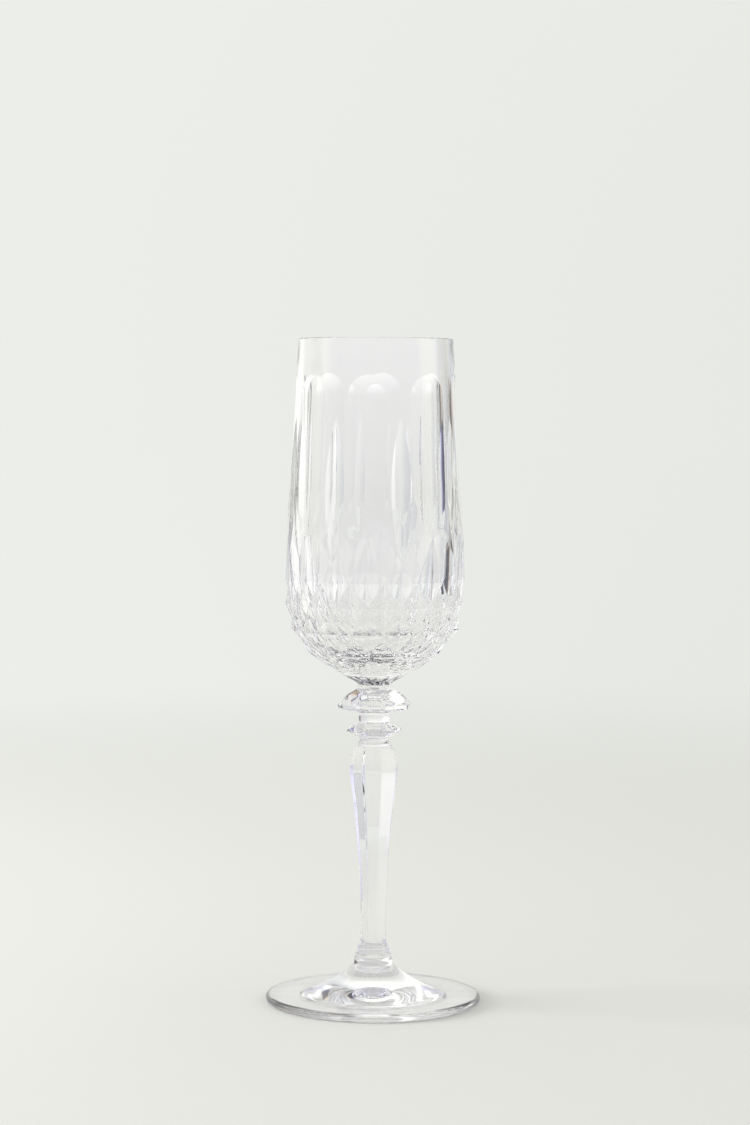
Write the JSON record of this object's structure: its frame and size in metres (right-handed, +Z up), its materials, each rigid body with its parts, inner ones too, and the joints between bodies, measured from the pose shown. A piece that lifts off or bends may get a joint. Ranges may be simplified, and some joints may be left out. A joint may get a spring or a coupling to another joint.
{
  "type": "champagne flute",
  "caption": "Clear cut-crystal champagne flute: tall tulip bowl with panels, leaf cuts and a diamond band on a knopped, eight-sided baluster stem and a round foot.",
  "frame": {"origin": "centre of the foot, on the plane that the flute stands on", "axes": "+Z up along the stem's axis to the rim; +X and -Y each through the middle of a bowl panel"},
  "size_m": [0.07, 0.07, 0.2158],
  "materials": {
    "clear_crystal": "fire-polished, colourless and clear, with crisp polished facets"
  },
  "bodies": {
    "root": {"bowl": "clear_crystal", "upper_knop": "clear_crystal", "waist_merese": "clear_crystal", "lower_knop": "clear_crystal", "neck_merese": "clear_crystal", "baluster_stem": "clear_crystal", "foot_merese": "clear_crystal", "foot": "clear_crystal"}
  },
  "joints": []
}
